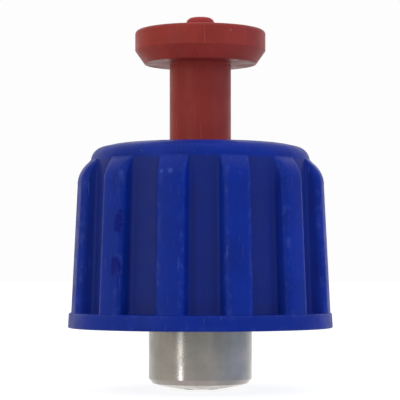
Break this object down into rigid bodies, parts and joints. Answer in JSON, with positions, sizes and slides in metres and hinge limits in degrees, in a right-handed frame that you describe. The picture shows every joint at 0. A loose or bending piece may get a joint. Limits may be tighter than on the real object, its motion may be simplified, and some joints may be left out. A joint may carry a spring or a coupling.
{
  "type": "drip emitter",
  "caption": "Ribbed screw cap with a domed metal strainer sleeve and a spring-return mushroom button that flushes the drip nozzle.",
  "frame": {"origin": "middle of the seal plane, where the riser's end meets the gasket, on the thread's axis", "axes": "+Z along the thread's axis, towards the button; -Z towards the strainer dome; a groove between two ribs faces -Y"},
  "size_m": [0.0408, 0.0408, 0.0575],
  "materials": {
    "blue_plastic": "moulded, satin, lightly scuffed",
    "red_plastic": "moulded, satin",
    "sleeve_metal": "turned, satin, slightly dull",
    "spring_steel": "drawn wire and stamped strip",
    "brass": "turned",
    "black_plastic": "moulded",
    "white_plastic": "moulded, slippery",
    "black_rubber": "moulded",
    "silicone": "moulded, milky"
  },
  "bodies": {
    "cartridge": {"valve_sleeve": "sleeve_metal", "bonnet": "black_plastic", "guide_bush": "white_plastic", "stem_o_ring": "black_rubber", "bonnet_o_ring": "black_rubber", "slip_washer": "white_plastic", "riser_gasket": "black_rubber", "valve_seat": "brass", "seat_o_ring": "black_rubber", "labyrinth_core": "black_plastic", "diaphragm": "silicone", "stack_clip": "spring_steel", "filter_screen": "spring_steel", "screen_ring": "spring_steel", "return_spring": "spring_steel"},
    "cap": {"screw_cap": "blue_plastic"},
    "plunger": {"flush_plunger": "red_plastic", "drip_nozzle": "red_plastic", "retaining_clip": "spring_steel", "poppet": "brass", "poppet_seal": "black_rubber", "poppet_screw": "spring_steel"}
  },
  "joints": [
    {"name": "plunger_press", "type": "slide", "parent": "cartridge", "child": "plunger", "axis": [0, 0, 1], "range_m": [-0.006, 0], "stiffness_N_per_m": 490, "springref_m": 0.005, "deforming": ["return_spring"]},
    {"name": "cap_swivel", "type": "hinge", "parent": "cartridge", "child": "cap", "pos_m": [0, 0, 0], "axis": [0, 0, 1], "continuous": true}
  ]
}
